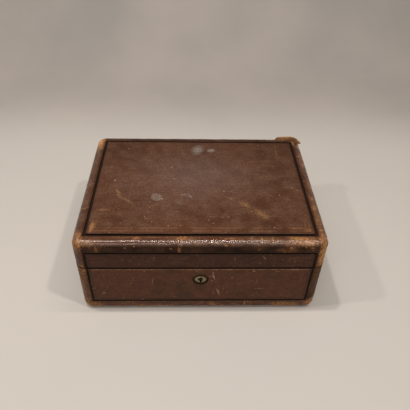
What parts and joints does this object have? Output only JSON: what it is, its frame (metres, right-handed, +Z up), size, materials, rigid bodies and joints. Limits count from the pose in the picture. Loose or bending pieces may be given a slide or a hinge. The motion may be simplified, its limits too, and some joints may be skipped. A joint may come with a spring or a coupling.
{
  "type": "leather case",
  "caption": "Rectangular hinged case in dark brown leather over wood, with inset panels, edging bands, stop hinges at the back and a lock in the front.",
  "frame": {"origin": "centre of the underside, on the surface that the case stands on, lid closed", "axes": "+X to the right seen from the front, +Y to the back (the hinge side), +Z up"},
  "size_m": [0.31, 0.232, 0.1252],
  "materials": {
    "carcass_wood": "planed softwood",
    "panel_leather": "worn dark brown hide with a low sheen",
    "edging_leather": "dark brown edging with a pressed grain, rubbed tan at the corners",
    "lining_velvet": "short pile velvet",
    "underside_cloth": "dark lining cloth",
    "brass": "aged, dull",
    "steel": "oiled"
  },
  "bodies": {
    "case": {"base_front_board": "carcass_wood", "base_back_board": "carcass_wood", "base_left_board": "carcass_wood", "base_right_board": "carcass_wood", "base_bottom_board": "carcass_wood", "base_front_panel": "panel_leather", "base_back_panel": "panel_leather", "base_left_panel": "panel_leather", "base_right_panel": "panel_leather", "base_underside_cover": "underside_cloth", "base_foot_edging": "edging_leather", "base_corner_front_left": "edging_leather", "base_corner_front_right": "edging_leather", "base_corner_back_left": "edging_leather", "base_corner_back_right": "edging_leather", "base_rim_facing": "panel_leather", "base_lining_front": "lining_velvet", "base_lining_back": "lining_velvet", "base_lining_left": "lining_velvet", "base_lining_right": "lining_velvet", "base_floor_pad": "lining_velvet", "hinge_left_base_leaf": "brass", "hinge_right_base_leaf": "brass", "hinge_pins": "steel", "hinge_base_screws": "brass", "lock_plate": "brass", "lock_cap": "brass", "lock_spring": "steel", "lock_screws": "brass", "escutcheon": "brass"},
    "lid": {"lid_front_board": "carcass_wood", "lid_back_board": "carcass_wood", "lid_left_board": "carcass_wood", "lid_right_board": "carcass_wood", "lid_top_board": "carcass_wood", "lid_front_panel": "panel_leather", "lid_back_panel": "panel_leather", "lid_left_panel": "panel_leather", "lid_right_panel": "panel_leather", "lid_top_panel": "panel_leather", "lid_top_edging": "edging_leather", "lid_corner_front_left": "edging_leather", "lid_corner_front_right": "edging_leather", "lid_corner_back_left": "edging_leather", "lid_corner_back_right": "edging_leather", "lid_rim_facing": "panel_leather", "lid_lining_front": "lining_velvet", "lid_lining_back": "lining_velvet", "lid_lining_left": "lining_velvet", "lid_lining_right": "lining_velvet", "lid_pad": "lining_velvet", "hinge_left_lid_leaf": "brass", "hinge_right_lid_leaf": "brass", "hinge_lid_screws": "brass", "link_plate": "brass", "link_screws": "brass"},
    "bolt": {"lock_bolt": "steel"}
  },
  "joints": [
    {"name": "lid_hinge", "type": "hinge", "parent": "case", "child": "lid", "pos_m": [0, 0.1128, 0.0814], "axis": [-1, 0, 0], "range_deg": [0, 100]},
    {"name": "bolt_slide", "type": "slide", "parent": "case", "child": "bolt", "axis": [1, 0, 0], "range_m": [0, 0.0044]}
  ]
}
